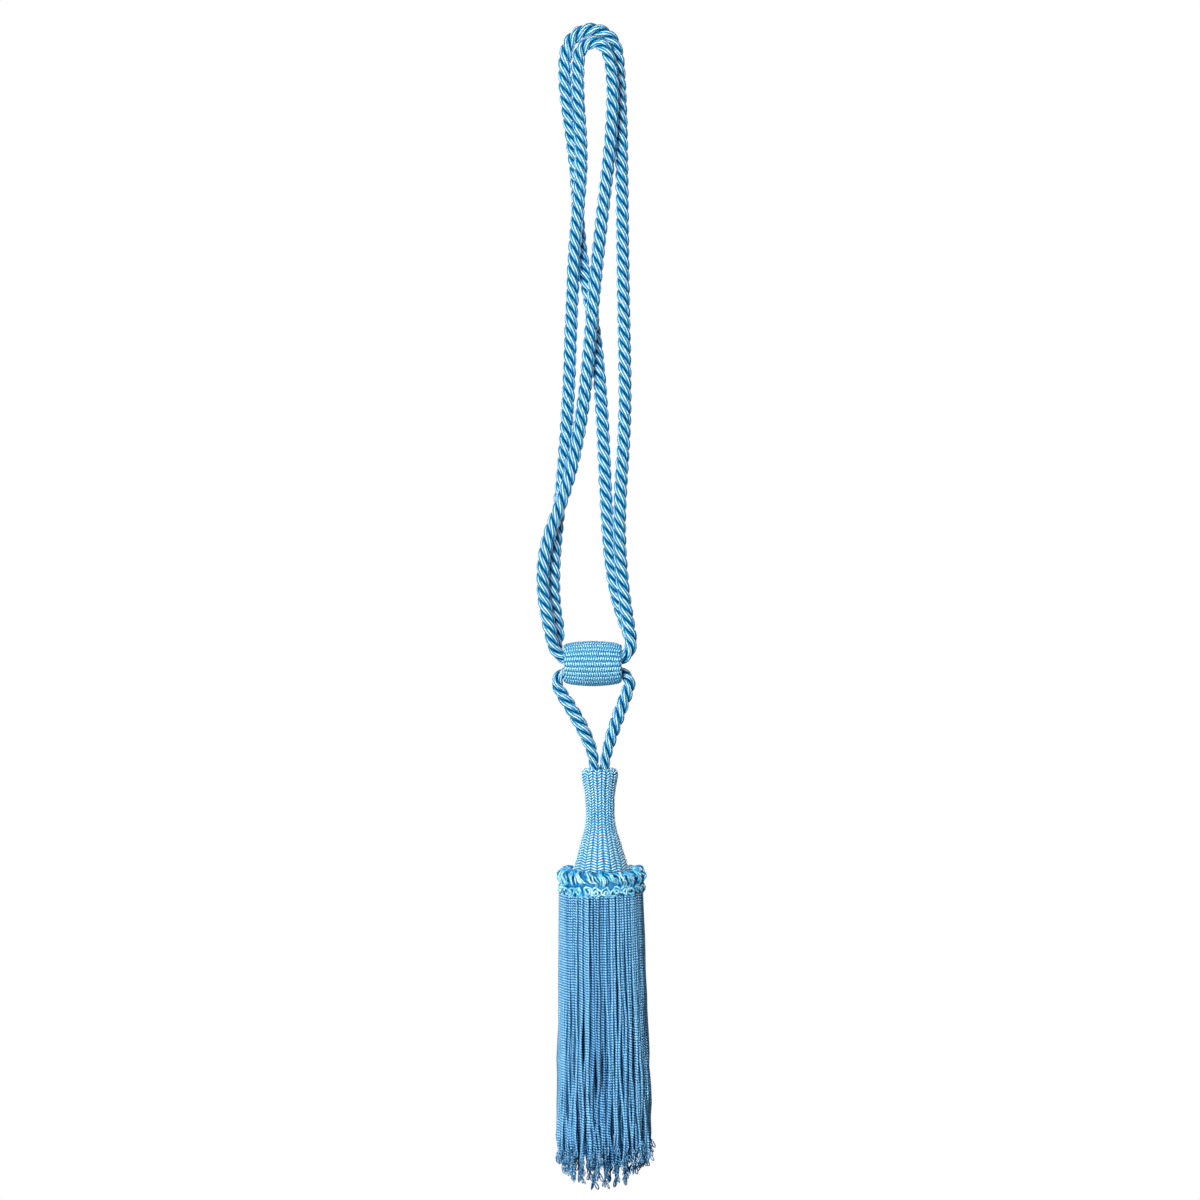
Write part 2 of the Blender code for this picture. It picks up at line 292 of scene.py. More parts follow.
def sweep(board, curve, radius, sides):  # a tube that keeps the angle round it and the length along it
    curve = keep(board, curve, "along", onSpline(board, "Length"))
    return board.add("GeometryNodeCurveToMesh", None, {
        "Curve": curve, "Profile Curve": circle(board, sides), "Scale": radius, "Fill Caps": True})


def copiesOf(board, geometry, count, axis=None):  # numbered copies, spread round an axis
    points = board.add("GeometryNodePoints", None, {"Count": count})
    number = board.add("GeometryNodeInputIndex")
    sockets = {"Points": points, "Instance": geometry}
    if axis:
        sockets["Rotation"] = board.add("FunctionNodeAxisAngleToRotation", None,
                                        {"Axis": axis, "Angle": number * fullTurn / count})
    copies = board.add("GeometryNodeInstanceOnPoints", None, sockets)
    copies = keep(board, copies, "number", number, "INSTANCE")
    return board.add("GeometryNodeRealizeInstances", None, {0: copies})


def copiesAtRoots(board, geometry, roots, **sockets):
    return board.add("GeometryNodeInstanceOnPoints", None,
                     {"Points": roots, "Instance": geometry, **sockets})


def turned(name, rows, ring=False, sides=48):  # a shell turned round Z from rows of radius and depth
    shell = bmesh.new()
    angles = [k * fullTurn / sides for k in range(sides)]
    loops = [[shell.verts.new((r * mm * math.cos(a), r * mm * math.sin(a), -depth * mm)) for a in angles]
             for r, depth in rows]
    pairs = list(zip(loops, loops[1:] + loops[:1]))
    for upper, lower in pairs if ring else pairs[:-1]:
        for k in range(sides):
            shell.faces.new((upper[k], upper[k - 1], lower[k - 1], lower[k]))
    if not ring:
        shell.faces.new(loops[0])
        shell.faces.new(loops[-1])
    bmesh.ops.recalc_face_normals(shell, faces=shell.faces)
    mesh = bpy.data.meshes.new(name)
    shell.to_mesh(mesh)
    shell.free()
    return mesh


def smoothLine(points, perSpan=20):  # natural cubic spline, knotted at the chords' lengths
    points = np.array(points, dtype=float)
    gaps = np.linalg.norm(np.diff(points[:, :3], axis=0), axis=1)
    count = len(points)
    system = np.eye(count)
    sides = np.zeros_like(points)
    for i in range(1, count - 1):
        before, after = gaps[i - 1], gaps[i]
        system[i, i - 1:i + 2] = (before, 2 * (before + after), after)
        sides[i] = 6 * ((points[i + 1] - points[i]) / after - (points[i] - points[i - 1]) / before)
    bends = np.linalg.solve(system, sides)
    line = []
    for i in range(count - 1):
        gap = gaps[i]
        for t in np.linspace(0, gap, perSpan, endpoint=False):
            ahead = gap - t
            line.append((bends[i] * ahead ** 3 + bends[i + 1] * t ** 3) / (6 * gap)
                        + (points[i] / gap - bends[i] * gap / 6) * ahead
                        + (points[i + 1] / gap - bends[i + 1] * gap / 6) * t)
    line.append(points[-1])
    return np.array(line)


def lengthsAlong(line):  # from a line's start to each of its points
    lengths = np.linalg.norm(np.diff(line[:, :3], axis=0), axis=1)
    return np.concatenate(([0.0], np.cumsum(lengths)))


def evenSteps(line, step):  # every column, as the radius, is carried along with the place
    along = lengthsAlong(line)
    places = np.linspace(0.0, along[-1], round(along[-1] / step) + 1)
    return np.array([np.interp(places, along, column) for column in line.T]).T


def finishPiece(piece, node):  # the tieback is one body
    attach(piece, "root")
    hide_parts(node)
    return piece


def newMaterial(name):
    material = bpy.data.materials.new(name)
    material.use_nodes = True
    material.node_tree.nodes.clear()
    return material, Board(material.node_tree)


def paintFact(board, name, out="Fac"):  # an attribute of the mesh, in a material
    return board.add("ShaderNodeAttribute", {"attribute_name": name}, out=out)


def objectPlace(board):
    return board.add("ShaderNodeTexCoord", out="Object")


def fibreAt(board, look, place):
    return noiseAt(board, place, look["fibreScale"], look["fibreDetail"])


def fibreAlong(board, look, angle, along):  # noise drawn out along a thread
    return fibreAt(board, look, onCircle(board, look["fibreGirth"], angle, along * look["fibreDrift"]))


def mixColours(board, share, first, second):
    return board.add("ShaderNodeMix", {"data_type": "RGBA"}, {0: share, 6: first, 7: second}, out=2)


def threeTones(board, shade, look):  # painted shade in the gaps, light half way, painted highlight on the crests
    colour = mixColours(board, clamp(shade * 2.0), look["dark"], look["light"])
    return mixColours(board, clamp(shade * 2.0 - 1.0), colour, look["bright"])


def finishShader(board, look, colour, height, fibre, gloss=1.0):
    bump = board.add("ShaderNodeBump", None,
                     {"Strength": look["bump"], "Distance": look["bumpDepth"], "Height": height})
    shader = board.add("ShaderNodeBsdfPrincipled", None, {
        "Base Color": colour,
        "Roughness": look["roughness"] + centred(fibre) * look["roughnessDrift"],
        "Normal": bump,
        "Metallic": look["metallic"],
        "Specular IOR Level": look["specular"],
        "Coat Weight": gloss * look["gloss"],
        "Coat IOR": look["glossIndex"],
        "Coat Roughness": look["glossRoughness"],
    })
    board.add("ShaderNodeOutputMaterial", None, {"Surface": shader})


def ropeMaterial(look):  # painted highlight lines, drawn as yarns laid the other way round each ply
    material, board = newMaterial(look["name"])
    angle = angleOf(board, paintFact(board, "turn", "Vector"))
    fibre = fibreAlong(board, look, angle, paintFact(board, "along"))
    # painted highlight: bright stripes wound round each ply, standing in for the lamps' reflections on it
    yarnHighlight = cosine((angle + paintFact(board, "lay") * look["highlightYarnTurn"]) * look["highlightYarns"])
    line = clamp((yarnHighlight - look["lineEdge"]) / (1.0 - look["lineEdge"]))
    crest = paintFact(board, "crest")
    # crest is the painted shade in the grooves between plies
    shade = crest * (look["plyShade"] + centred(fibre) * look["fibreShade"] + line * look["lineShade"])
    finishShader(board, look, threeTones(board, clamp(shade), look), line, fibre, crest)
    return material


def satinMaterial(look):  # floss laid along a thread
    material, board = newMaterial(look["name"])
    angle = angleOf(board, paintFact(board, "around", "Vector"))
    along = paintFact(board, "along")
    strands = sine(angle * look["strands"] + along * (fullTurn * look["strandTurns"]))
    fibre = fibreAlong(board, look, angle, along)
    patch = noiseAt(board, objectPlace(board), look["patchScale"])
    # crest brings the painted shade laid on the loops and coils
    crest = paintFact(board, "crest")
    light = 1.0 + strands * look["strandShade"] + centred(fibre) * look["fibreShade"]
    shade = clamp(crest * (light + centred(patch) * look["patchShade"]))
    height = strands * look["strandBump"] + fibre
    finishShader(board, look, threeTones(board, shade, look), height, fibre, clamp(crest))
    return material


def woundMaterial(look):  # cord whose wound threads are modelled as crests; its colour carries painted shade in the grooves and on the flanks
    material, board = newMaterial(look["name"])
    place = objectPlace(board)
    fibre = fibreAt(board, look, place)
    patch = noiseAt(board, place, look["patchScale"])
    crest = paintFact(board, "crest")
    shade = crest * (1.0 + look["patchShade"] * centred(patch)) + centred(fibre) * look["fibreShade"]
    gloss = clamp(crest ** look["glossPower"])
    finishShader(board, look, threeTones(board, clamp(shade), look), fibre, fibre, gloss)
    return material


def fringeMaterial(look):  # fine twisted cord, its threads drawn and bumped, with painted shade in the twist's grooves and a painted highlight on its crests
    material, board = newMaterial(look["name"])
    angle = angleOf(board, paintFact(board, "around", "Vector"))
    twist = angle * look["starts"] + paintFact(board, "along") * (fullTurn / look["pitch"])
    crest = absolute(cosine(twist * 0.5)) ** look["sharpness"]
    fibre = fibreAt(board, look, objectPlace(board))
    shade = centred(crest) * look["crestShade"] + look["shade"]
    # painted shade on the inner rings, with a random tone
    shade = shade + centred(paintFact(board, "tone")) * look["patchShade"]
    shade = shade + centred(fibre) * look["fibreShade"]
    height = crest + fibre * look["fibreBump"]
    gloss = crest ** look["glossPower"]
    finishShader(board, look, threeTones(board, clamp(shade), look), height, fibre, gloss)
    return material


def coreMaterial(look):  # plain cloth, seen only in the gaps
    material, board = newMaterial(look["name"])
    fibre = fibreAt(board, look, objectPlace(board))
    finishShader(board, look, mixColours(board, fibre, look["dark"], look["light"]), fibre, fibre)
    return material


studio = {
    "target": Vector((0.003, 0.0, -0.330)),  # the photograph's centre, at the tassel's depth
    "distance": 1.45,
    "lens": 72.5,  # mm
    "sensor": 36.0,  # mm
    "nearest": 0.05,  # the camera sees nothing that is closer
    "floorHeight": -0.76,
    "floorSize": 60.0,
    "fill": 0.11,  # the world's light on the tieback, as a share of its white background
}
lamps = {  # degrees round from the camera, height, size across and up, watts, distance, what it lights
    "frontPanel": (-18, 0.3, 0.5, 1.2, 36.5, 1.7, "colour"),
    "leftPanel": (-52, 0.3, 0.3, 1.8, 1.5, 1.5, "colour"),
    "frontStrip": (-5, 0.1, 0.3, 2.4, 85.0, 1.6, "gloss"),
    "leftStrip": (-60, -0.4, 0.14, 2.4, 28.0, 1.5, "gloss"),
    "rightStrip": (62, 0.9, 0.14, 1.6, 16.0, 1.5, "gloss"),
    "backLeft": (-152, 0.3, 0.6, 1.6, 26.0, 1.6, "both"),
    "backRight": (158, 0.3, 0.6, 1.6, 22.0, 1.6, "both"),
}


def aim(thing, target):
    thing.rotation_euler = (target - thing.location).to_track_quat("-Z", "Y").to_euler()


def addCamera():
    camera = bpy.data.objects.new("camera", bpy.data.cameras.new("camera"))
    camera.data.lens = studio["lens"]
    camera.data.sensor_width = studio["sensor"]
    camera.data.clip_start = studio["nearest"]
    camera.location = studio["target"] + Vector((0.0, -studio["distance"], 0.0))
    aim(camera, studio["target"])
    scene.collection.objects.link(camera)
    scene.camera = camera


def addLamps():
    for name, (azimuth, height, across, up, power, distance, lights) in lamps.items():
        data = bpy.data.lights.new(name, "AREA")
        data.shape = "RECTANGLE"
        data.size = across
        data.size_y = up
        data.energy = power
        lamp = bpy.data.objects.new(name, data)
        angle = math.radians(azimuth)
        away = Vector((math.sin(angle) * distance, -math.cos(angle) * distance, height))
        lamp.location = studio["target"] + away
        aim(lamp, studio["target"])
        lamp.visible_diffuse = lights != "gloss"
        lamp.visible_glossy = lights != "colour"
        scene.collection.objects.link(lamp)


def addFloor():
    half = studio["floorSize"] / 2
    mesh = bpy.data.meshes.new("floor")
    corners = [(-half, -half), (half, -half), (half, half), (-half, half)]
    mesh.from_pydata([(x, y, studio["floorHeight"]) for x, y in corners], [], [(0, 1, 2, 3)])
    floor = bpy.data.objects.new("floor", mesh)
    scene.collection.objects.link(floor)
    material, board = newMaterial("paleFloor")
    glow = board.add("ShaderNodeEmission", None, {"Color": white, "Strength": 1.0})
    board.add("ShaderNodeOutputMaterial", None, {"Surface": glow})
    mesh.materials.append(material)
    floor.visible_diffuse = False
    floor.visible_glossy = False


def addWorld():
    world = bpy.data.worlds.new("studio")
    world.use_nodes = True
    world.node_tree.nodes.clear()
    board = Board(world.node_tree)
    seen = board.add("ShaderNodeLightPath", out="Is Camera Ray")
    strength = studio["fill"] + seen * (1.0 - studio["fill"])
    glow = board.add("ShaderNodeBackground", None, {"Color": white, "Strength": strength})
    board.add("ShaderNodeOutputWorld", None, {"Surface": glow})
    scene.world = world
    scene.view_settings.view_transform = "Standard"


addCamera()
addLamps()
addFloor()
addWorld()
print("tieback: studio set")


rope = {
    "radius": 4.1 * mm,
    "lay": 21.6 * mm,  # rope for one turn of its plies
    "plyOffset": 2.30 * mm,  # from the rope's middle to a ply's
    "plyRadius": 1.90 * mm,
    "plies": 3,
    "step": 1.0 * mm,
    "sides": 12,
    "crestGain": 3.6,  # how fast the painted shade fades as a ply comes out of its groove
    "crestStart": 2.35,
}
ropeRoute = [  # x, y and z in metres, and the radius as a share of the free rope's
    (0.0000, -0.00145, -0.4444, 0.75),  # left end in the head's hole
    (-0.0003, -0.00145, -0.4315, 0.75),
    (-0.0017, -0.0014, -0.4215, 0.86),
    (-0.0070, -0.0010, -0.4080, 1.00),
    (-0.0151, -0.0004, -0.3936, 1.00),
    (-0.0206, 0.0000, -0.3850, 0.93),
    (-0.0228, 0.0000, -0.3784, 0.86),  # round the slider's left lip
    (-0.0172, 0.0000, -0.3728, 0.82),
    (-0.0090, 0.0024, -0.3722, 0.82),
    (-0.0014, 0.0041, -0.3704, 0.82),  # first pass
    (0.0063, 0.0047, -0.3681, 0.82),
    (0.0145, 0.0041, -0.3658, 0.82),
    (0.0209, 0.0041, -0.3595, 0.88),
    (0.0194, 0.0043, -0.3480, 0.97),  # outer loop, left side, going up
    (0.0136, 0.0041, -0.3300, 1.00),
    (0.0082, 0.0037, -0.2940, 1.00),
    (0.0044, 0.0036, -0.2220, 1.00),
    (-0.0033, 0.0044, -0.1500, 1.00),
    (-0.0092, 0.0045, -0.1140, 1.00),
    (-0.0112, 0.0045, -0.0780, 1.00),
    (-0.0155, 0.0034, -0.0420, 1.00),
    (-0.0183, 0.0012, -0.0100, 1.00),
    (-0.0139, 0.0006, 0.0066, 1.00),
    (-0.0022, 0.0009, 0.0124, 1.00),  # outer crown
    (0.0099, 0.0028, 0.0072, 0.97),
    (0.0141, 0.0037, -0.0080, 0.97),
    (0.0157, 0.0036, -0.0480, 1.00),  # outer loop, right side, going down
    (0.0164, 0.0016, -0.1000, 1.00),
    (0.0173, 0.0000, -0.1650, 1.00),
    (0.0175, 0.0000, -0.2280, 1.00),
    (0.0147, -0.0012, -0.2820, 1.00),
    (0.0177, -0.0038, -0.3300, 1.00),
    (0.0209, -0.0042, -0.3500, 0.97),
    (0.0210, -0.0041, -0.3595, 0.88),
    (0.0145, -0.0041, -0.3658, 0.82),
    (0.0063, -0.0024, -0.3640, 0.82),
    (-0.0014, 0.0000, -0.3634, 0.82),  # second pass
    (-0.0090, 0.0024, -0.3640, 0.82),
    (-0.0172, 0.0041, -0.3658, 0.82),
    (-0.0229, 0.0042, -0.3600, 0.86),
    (-0.0224, 0.0043, -0.3525, 0.96),  # inner loop, left side, going up
    (-0.0234, 0.0043, -0.3400, 1.00),
    (-0.0249, 0.0043, -0.3180, 1.00),
    (-0.0211, 0.0043, -0.2700, 1.00),
    (-0.0169, 0.0014, -0.2220, 1.00),
    (-0.0138, -0.0012, -0.1500, 1.00),
    (-0.0108, -0.0042, -0.1020, 1.00),
    (-0.0083, -0.0040, -0.0660, 1.00),
    (-0.0101, -0.0030, -0.0300, 1.00),
    (-0.0102, -0.0014, -0.0090, 1.00),
    (-0.0076, -0.0012, 0.0010, 0.98),
    (-0.0003, -0.0015, 0.0044, 0.97),  # inner crown
    (0.0058, -0.0029, 0.0006, 0.97),
    (0.0091, -0.0037, -0.0085, 0.98),
    (0.0106, -0.0042, -0.0300, 1.00),
    (0.0068, -0.0041, -0.0780, 1.00),  # inner loop, right side, going down in front of the others
    (-0.0009, -0.0043, -0.1500, 1.00),
    (-0.0084, -0.0037, -0.2220, 1.00),
    (-0.0198, -0.0043, -0.2700, 1.00),
    (-0.0294, -0.0042, -0.2990, 1.00),
    (-0.0309, -0.0042, -0.3250, 1.00),
    (-0.0264, -0.0042, -0.3510, 0.98),
    (-0.0234, -0.0041, -0.3605, 0.86),
    (-0.0172, -0.0041, -0.3658, 0.82),
    (-0.0090, -0.0047, -0.3681, 0.82),
    (-0.0014, -0.0041, -0.3704, 0.82),  # third pass
    (0.0063, -0.0024, -0.3722, 0.82),
    (0.0145, 0.0000, -0.3728, 0.82),
    (0.0206, 0.0000, -0.3782, 0.86),
    (0.0193, 0.0002, -0.3852, 0.96),
    (0.0148, 0.0006, -0.3972, 1.00),
    (0.0099, 0.0011, -0.4116, 0.96),
    (0.0066, 0.0014, -0.4240, 0.82),
    (0.0055, 0.00145, -0.4315, 0.75),
    (0.0057, 0.00145, -0.4444, 0.75),  # right end in the head's hole
]
ropeLook = {
    "name": "ropeSatin",
    "dark": (0.0, 0.05, 0.16), "light": (0.0, 0.33, 0.66), "bright": (0.84, 1.0, 1.0),
    # the line settings on this row paint highlight lines round each ply; bright is their painted
    # highlight colour
    "highlightYarns": 7, "highlightYarnTurn": 0.9, "plyShade": 0.42, "lineEdge": 0.15, "lineShade": 0.72,
    "fibreScale": 2.0, "fibreDetail": 2.0, "fibreGirth": 1.4, "fibreDrift": 60.0, "fibreShade": 0.12,
    "roughness": 0.5, "roughnessDrift": 0.1, "bump": 0.3, "bumpDepth": 0.15 * mm,
    "specular": 0.1, "metallic": 0.0, "gloss": 0.2, "glossIndex": 1.7, "glossRoughness": 0.2,
}


def ropeTree(material):
    board, given = newTree("laidRope", rope, "plies", "lay", "plyOffset", "plyRadius", "sides",
                           "crestGain", "crestStart")
    curve = board.add("GeometryNodeMeshToCurve", None, {0: given["Geometry"]})
    curve = board.add("GeometryNodeSetCurveNormal", None, {"Curve": curve})
    curve = keepVector(board, curve, "middle", position(board))
    copies, copy = board.add("GeometryNodeDuplicateElements", {"domain": "SPLINE"},
                             {"Geometry": curve, "Amount": given["plies"]}, out=(0, 1))
    share = fact(board, "share")
    ahead = board.add("GeometryNodeInputTangent")
    across = board.add("GeometryNodeInputNormal")
    aside = cross(board, ahead, across)
    angle = copy * fullTurn / given["plies"] - onSpline(board, "Length") * fullTurn / given["lay"]
    shift = (across * cosine(angle) + aside * sine(angle)) * (share * given["plyOffset"])
    moved = shiftBy(board, copies, shift)
    moved = keep(board, moved, "lay", angle)
    moved = keepVector(board, moved, "plyMiddle", position(board))
    moved = keepVector(board, moved, "ahead", board.add("GeometryNodeInputTangent"))
    plies = sweep(board, moved, share * given["plyRadius"], given["sides"])
    outward = unit(board, vectorFact(board, "plyMiddle") - vectorFact(board, "middle"))
    normal = unit(board, position(board) - vectorFact(board, "plyMiddle"))
    turn = combine(board, dot(board, normal, outward),
                   dot(board, normal, cross(board, vectorFact(board, "ahead"), outward)), 0.0)
    plies = keepVector(board, plies, "turn", turn)
    # painted shade: plies darker the deeper they lie in the grooves between them
    outFrom = vectorMath(board, "DISTANCE", position(board), vectorFact(board, "middle"), out="Value")
    reach = outFrom / (share * (given["plyOffset"] + given["plyRadius"]))
    crest = clamp(reach * given["crestGain"] - given["crestStart"])
    return endTree(board, keep(board, plies, "crest", crest), material)


def makeRope():
    line = smoothLine(ropeRoute)
    path = evenSteps(line, rope["step"])
    seed = seedLine("ropeRoute", path[:, :3], share=path[:, 3])
    piece = finishPiece(grow("laidRope", ropeTree(ropeMaterial(ropeLook)), seed), "rope")


makeRope()


coreLook = {
    "name": "coreCloth",
    "dark": (0.0, 0.13, 0.34), "light": (0.0, 0.32, 0.62),
    "fibreScale": 1500.0, "fibreDetail": 3.0,
    "roughness": 0.6, "roughnessDrift": 0.2, "bump": 0.3, "bumpDepth": 0.2 * mm,
    "specular": 0.4, "metallic": 0.0, "gloss": 0.0, "glossIndex": 1.5, "glossRoughness": 0.3,
}
woundLook = {
    "name": "woundThread",
    "dark": (0.0, 0.08, 0.24), "light": (0.03, 0.46, 0.80), "bright": (0.84, 1.0, 1.0),
    "fibreScale": 3000.0, "fibreDetail": 3.0, "fibreShade": 0.3, "patchScale": 90.0, "patchShade": 0.4,
    "roughness": 0.40, "roughnessDrift": 0.1, "bump": 0.10, "bumpDepth": 0.1 * mm,
    "specular": 0.3, "metallic": 0.1,
    "gloss": 0.6, "glossPower": 2.0, "glossIndex": 1.8, "glossRoughness": 0.26,
}
sliderLook = {  # the same thread, painted darker over the barrel as shade, and glossier on it
    **woundLook, "name": "sliderThread",
    "dark": (0.0, 0.07, 0.22), "light": (0.01, 0.36, 0.68), "bright": (0.62, 0.95, 1.0),
    "gloss": 1.0, "glossRoughness": 0.3,
}
coreCloth = coreMaterial(coreLook)


def addCore(mesh, place, node):
    mesh.transform(place)
    mesh.materials.append(coreCloth)
    mesh.shade_smooth()
    piece = bpy.data.objects.new(mesh.name, mesh)
    scene.collection.objects.link(piece)
    finishPiece(piece, node)


def raiseThreads(board, given, geometry, axis):  # wound round each cord, by turns to either hand
    hand = (fact(board, "number") % 2.0) * 2.0 - 1.0  # 1 or -1
    around = angleOf(board, vectorFact(board, "around")) * given["starts"] * hand
    phase = around + fact(board, "along") * fullTurn / given["pitch"]
    crest = absolute(cosine(phase * 0.5)) ** given["sharpness"]
    outward = board.add("GeometryNodeInputNormal")
    beside = unit(board, cross(board, axis, position(board)))
    # painted shade: darker in the grooves between turns and on the flanks that face the next cord
    flank = absolute(dot(board, outward, beside))
    shade = crest * (1.0 - flank * flank * given["flankShade"]) * given["shade"]
    geometry = keep(board, geometry, "crest", shade)
    return shiftBy(board, geometry, outward * ((crest - 1.0) * given["threadDepth"]))


def woundCords(name, piece, look, path, axis, place, node):  # one cord's path copied round the axis
    board, given = newTree(name, piece, "cords", "sides", "pitch", "starts", "threadDepth", "sharpness",
                           "flankShade", "shade")
    curve = board.add("GeometryNodeMeshToCurve", None, {0: given["Geometry"]})
    tube = sweep(board, curve, fact(board, "thick"), given["sides"])
    x, y, z = separate(board, position(board))
    tube = setPlace(board, tube, combine(board, x, y * fact(board, "flat"), z))
    cords = raiseThreads(board, given, copiesOf(board, tube, given["cords"], axis), axis)
    seed = seedLine(name + "Path", path[:, :3], thick=path[:, 3], flat=path[:, 4] / path[:, 3])
    tree = endTree(board, cords, woundMaterial(look))
    finishPiece(grow(name, tree, seed, place), node)


slider = {
    "centre": (-1.35 * mm, 0.0, -368.1 * mm),
    "cords": 24,
    "sides": 12,
    "step": 0.18 * mm,
    "pitch": 1.4 * mm,
    "starts": 1,  # threads wound side by side
    "threadDepth": 0.24 * mm,
    "sharpness": 1.1,
    "flankShade": 0.2,
    # painted shade: the slider's threads drawn darker than the head's
    "shade": 0.82,
    "overlap": 1.05,  # a cord's width, as a share of its place round the barrel
}
sliderHalf = [  # mm, middle of a cord from the waist into the bore: out, radius, half its thickness
    (0.0, 12.45, 1.25),
    (7.0, 12.15, 1.25),
    (12.3, 11.57, 1.2),
    (15.2, 11.05, 1.1),
    (16.5, 10.45, 0.98),
    (16.75, 9.75, 0.9),
    (15.8, 9.28, 0.85),
    (13.0, 9.15, 0.85),
]
sliderCore = [  # mm, half of the wall from the bore to the waist: radius, out
    (8.3, 0.0), (8.3, 16.0), (9.2, 16.6), (10.4, 16.4), (10.9, 15.2), (11.9, 8.0), (12.3, 0.0)]


def makeSlider():
    half = [(x * mm, 0.0, r * mm, thick * mm) for x, r, thick in sliderHalf]
    otherHalf = [(-x, y, z, thick) for x, y, z, thick in half[:0:-1]]
    path = evenSteps(smoothLine(otherHalf + half), slider["step"])
    width = path[:, 2] * math.pi / slider["cords"] * slider["overlap"]
    cord = np.column_stack((path, width))
    place = Matrix.Translation(slider["centre"])
    woundCords("sliderCords", slider, sliderLook, cord, (1.0, 0.0, 0.0), place, "slider")
    rows = sliderCore + [(r, -x) for r, x in sliderCore[-2:0:-1]]
    lying = place @ Matrix.Rotation(math.pi / 2, 4, "Y")
    addCore(turned("sliderCore", rows, ring=True), lying, "slider")


makeSlider()


tassel = {
    "rim": (2.7 * mm, 0.0, -430.8 * mm),  # middle of the head's rim
    "lean": math.radians(0.8),
}
tasselPlace = Matrix.Translation(tassel["rim"]) @ Matrix.Rotation(-tassel["lean"], 4, "Y")

head = {
    "cords": 24,
    "sides": 12,
    "step": 0.22 * mm,
    "pitch": 1.6 * mm,
    "starts": 2,
    "threadDepth": 0.50 * mm,
    "sharpness": 1.9,
    "flankShade": 0.45,
    "shade": 1.04,
    "overlap": 1.06,
}
headCord = [  # mm, middle of a cord: radius, depth under the rim, half its thickness
    (7.35, 8.5, 0.85),
    (7.35, 4.0, 0.9),
    (7.75, 1.7, 0.95),
    (8.9, 1.0, 1.0),
    (10.0, 2.0, 1.05),
    (10.35, 4.0, 1.05),
    (9.85, 7.2, 1.05),
    (8.75, 12.5, 1.05),
    (8.12, 18.0, 1.08),
    (7.87, 25.0, 1.08),
    (8.22, 32.4, 1.08),
    (9.1, 37.2, 1.1),
    (10.6, 42.0, 1.12),
    (13.55, 51.9, 1.15),
    (15.5, 58.2, 1.15),
    (16.0, 60.8, 1.1),
]
headCore = [  # mm, radius and depth under the rim
    (0.2, 13.9), (7.3, 13.9), (7.3, 3.0), (8.3, 1.7), (9.6, 2.2), (9.9, 4.2), (9.4, 7.0), (8.3, 12.5),
    (7.7, 18.0), (7.45, 25.0), (7.8, 32.4), (8.7, 37.2), (10.1, 42.0), (13.1, 51.9), (15.0, 58.0),
    (15.4, 61.0), (0.2, 61.2)]


def makeHead():
    points = [(r * mm, 0.0, -depth * mm, thick * mm) for r, depth, thick in headCord]
    path = evenSteps(smoothLine(points), head["step"])
    width = path[:, 0] * math.pi / head["cords"] * head["overlap"]
    cord = np.column_stack((path, width))
    woundCords("headCords", head, woundLook, cord, (0.0, 0.0, 1.0), tasselPlace, "head")
    addCore(turned("headCore", headCore), tasselPlace, "head")


makeHead()


ruff = {  # upper row, of slanting loops. A stray is a seed and the greatest amount to either side
    "loops": 24,
    "threads": 4,  # side by side in each loop
    "threadRadius": 0.66 * mm,
    "threadGap": 1.0 * mm,
    "curl": 2.8 * mm,
    "curlScale": 340.0,
    "curlShift": 0.7 * mm,  # between neighbouring threads, in the noise that curls them
    "radius": 21.9 * mm,
    "depth": 64.4 * mm,
    "reachOut": 3.3 * mm,
    "reachUp": 3.1 * mm,
    "slant": 0.65,
    "bow": 0.8 * mm,  # how far a loop's outer side leans along the ruff
    "bulge": 1.1 * mm,  # of a loop's middle threads over its outer ones
    "sides": 6,
    "steps": 32,
    "shade": 1.12,
    "endShade": 0.4,  # how much painted shade darkens a loop at its top and foot
    "sideShade": 0.12,  # how much painted shade darkens its outer threads
    "outStray": (4, 0.30 * mm),
    "upStray": (9, 0.12),
    "depthStray": (11, 0.6 * mm),
    "asideStray": (7, 0.6 * mm),
    "loopSlantStray": (15, 0.25),
    "threadSlantStray": (16, 0.25),
    "threadShadeStray": (23, 0.15),
    "loopShadeStray": (27, 0.1),
}
rosette = {  # lower row, of small coils
    "loops": 27,
    "threadRadius": 0.75 * mm,
    "radius": 23.7 * mm,
    "depth": 71.6 * mm,
    "size": 3.2 * mm,
    "inner": 0.2,  # a coil's inner end, as a share of its size
    "turns": 1.9,
    "dome": 1.6 * mm,  # how far a coil's middle stands out
    "curl": 3.0 * mm,
    "curlScale": 320.0,
    "sides": 7,
    "steps": 48,
    "shade": 0.92,
    "tailShade": 0.2,  # how much darker a coil's outer end is
    "turnStray": (3, math.pi),
    "sizeStray": (5, 0.15),
    "asideTiltStray": (8, 0.4),
    "downTiltStray": (13, 0.4),
    "placeStray": (17, 0.12),
    "depthStray": (21, 0.7 * mm),
    "shadeStray": (29, 0.15),
}
ruffCore = [  # mm, radius and depth under the rim
    (17.4, 74.6), (17.4, 60.8), (20.5, 61.2), (22.6, 63.5), (23.2, 66.5), (23.0, 69.5), (23.0, 73.5),
    (22.4, 74.8)]
